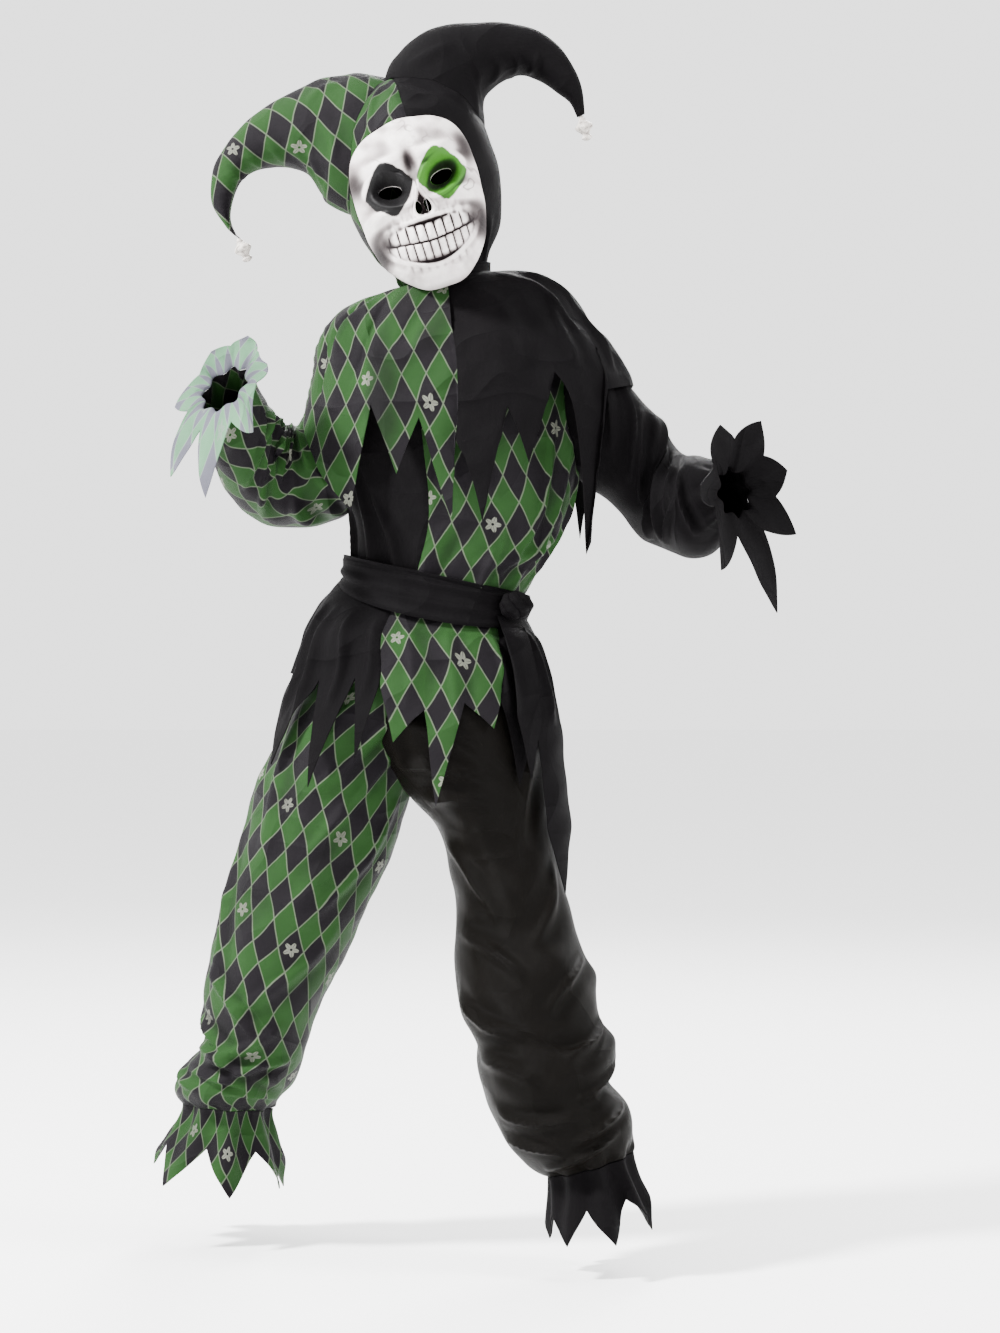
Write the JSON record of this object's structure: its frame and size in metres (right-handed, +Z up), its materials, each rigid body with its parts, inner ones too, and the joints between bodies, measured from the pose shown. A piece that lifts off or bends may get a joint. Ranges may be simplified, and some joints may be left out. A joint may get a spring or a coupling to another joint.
{
  "type": "jester costume",
  "caption": "Jester costume in green harlequin print and black: horned hood with skull mask, tunic with dagged cape and hems, sash and trousers, shown as worn.",
  "frame": {"origin": "the middle of the neck opening, where the tunic and cape hang on the wearer's neck and shoulders", "axes": "+X to the wearer's left, +Y to the back, +Z up; the front faces -Y"},
  "size_m": [0.7726, 0.3685, 1.4379],
  "materials": {
    "printed_cloth": "smooth printed polyester",
    "black_cloth": "matte woven polyester",
    "black_satin": "soft satin",
    "mask_shell": "painted, semi-matte",
    "charm": "semi-matte"
  },
  "bodies": {
    "root": {"hood_right": "printed_cloth", "horn_right": "printed_cloth", "tunic_front_left": "printed_cloth", "tunic_back_left": "printed_cloth", "cape_front_right": "printed_cloth", "cape_back_right": "printed_cloth", "sleeve_right": "printed_cloth", "cuff_right": "printed_cloth", "skirt_front": "printed_cloth", "skirt_back_left": "printed_cloth", "leg_right": "printed_cloth", "ankle_right": "printed_cloth", "hood_left": "black_cloth", "horn_left": "black_cloth", "neckband": "black_cloth", "tunic_front_right": "black_cloth", "tunic_back_right": "black_cloth", "cape_front_left": "black_cloth", "cape_back_left": "black_cloth", "sleeve_left": "black_cloth", "cuff_left": "black_cloth", "sash": "black_cloth", "knot": "black_cloth", "tail_outer": "black_cloth", "tail_inner": "black_cloth", "skirt_right": "black_cloth", "skirt_left": "black_cloth", "skirt_back_right": "black_cloth", "ankle_left": "black_cloth", "leg_left": "black_satin", "mask": "mask_shell", "charm_right": "charm", "charm_left": "charm"}
  },
  "joints": []
}
